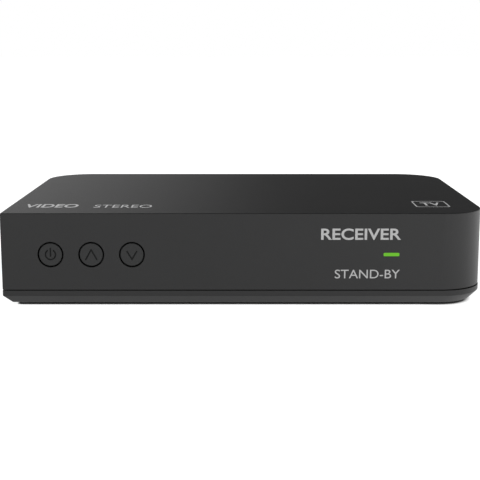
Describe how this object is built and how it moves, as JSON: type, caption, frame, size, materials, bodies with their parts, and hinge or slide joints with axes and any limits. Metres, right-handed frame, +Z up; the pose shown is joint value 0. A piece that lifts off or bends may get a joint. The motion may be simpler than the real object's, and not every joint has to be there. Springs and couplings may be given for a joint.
{
  "type": "satellite tv receiver",
  "caption": "Flat black set-top satellite receiver with push buttons and a status light in front and its sockets on the rear.",
  "frame": {"origin": "on the table, under the middle of the whole object, aerial thread included", "axes": "+Z up, the front with the buttons faces -Y, +X to the viewer's right"},
  "size_m": [0.168, 0.123, 0.033],
  "materials": {
    "housing_plastic": "fine-grained satin black moulding",
    "panel_plastic": "matte black moulded plate",
    "button_plastic": "satin black moulding with cut symbols",
    "foot_rubber": "matte black rubber",
    "blackened_steel": "blackened steel",
    "zinc_steel": "bright zinc plated steel",
    "black_moulding": "black moulded nylon",
    "lamp_plastic": "clear plastic lit green from behind",
    "diode_resin": "milky diode resin",
    "circuit_board": "green solder resist on glass laminate",
    "chip_resin": "black chip resin",
    "chip_ceramic": "tan ceramic chip parts",
    "heat_pad_silicone": "grey silicone pad",
    "anodised_aluminium": "black anodised aluminium",
    "can_aluminium": "drawn aluminium cans",
    "tin_plate": "tinned sheet steel",
    "nickel": "nickel plated metal",
    "gilt_contact": "gilt contacts",
    "white_insulator": "white polythene",
    "orange_insulator": "orange moulded insulator"
  },
  "bodies": {
    "housing": {"top_cover": "housing_plastic", "bottom_tray": "housing_plastic", "rear_panel": "panel_plastic", "rubber_feet": "foot_rubber", "case_screws": "blackened_steel", "switch_bases": "black_moulding", "switch_covers": "tin_plate", "light_guide": "lamp_plastic", "status_led": "diode_resin", "infrared_receiver": "black_moulding", "front_board": "circuit_board", "link_pins": "gilt_contact", "link_strip": "black_moulding", "main_board": "circuit_board", "board_screws": "zinc_steel", "processor": "chip_resin", "heat_pad": "heat_pad_silicone", "heat_sink": "anodised_aluminium", "memory_chips": "chip_resin", "program_store": "chip_resin", "crystal": "can_aluminium", "chip_components": "chip_ceramic", "voltage_regulators": "chip_resin", "power_inductors": "chip_resin", "filter_capacitors": "can_aluminium", "tuner_frame": "tin_plate", "tuner_lid": "tin_plate", "tuner_chip": "chip_resin", "aerial_barrel": "nickel", "aerial_insulator": "white_insulator", "aerial_contact": "gilt_contact", "aerial_washer": "nickel", "aerial_nut": "nickel", "scart_shield": "tin_plate", "scart_moulding": "black_moulding", "scart_contacts": "gilt_contact", "hdmi_shell": "tin_plate", "hdmi_moulding": "black_moulding", "audio_body": "black_moulding", "audio_ring": "nickel", "audio_insulator": "orange_insulator", "audio_contact": "gilt_contact", "power_inlet": "black_moulding", "power_pin": "nickel"},
    "power_key": {"power_button": "button_plastic", "power_plunger": "black_moulding"},
    "up_key": {"up_button": "button_plastic", "up_plunger": "black_moulding"},
    "down_key": {"down_button": "button_plastic", "down_plunger": "black_moulding"}
  },
  "joints": [
    {"name": "power_press", "type": "slide", "parent": "housing", "child": "power_key", "axis": [0, 1, 0], "range_m": [0, 0.0005], "stiffness_N_per_m": 3000},
    {"name": "up_press", "type": "slide", "parent": "housing", "child": "up_key", "axis": [0, 1, 0], "range_m": [0, 0.0005], "stiffness_N_per_m": 3000},
    {"name": "down_press", "type": "slide", "parent": "housing", "child": "down_key", "axis": [0, 1, 0], "range_m": [0, 0.0005], "stiffness_N_per_m": 3000}
  ]
}
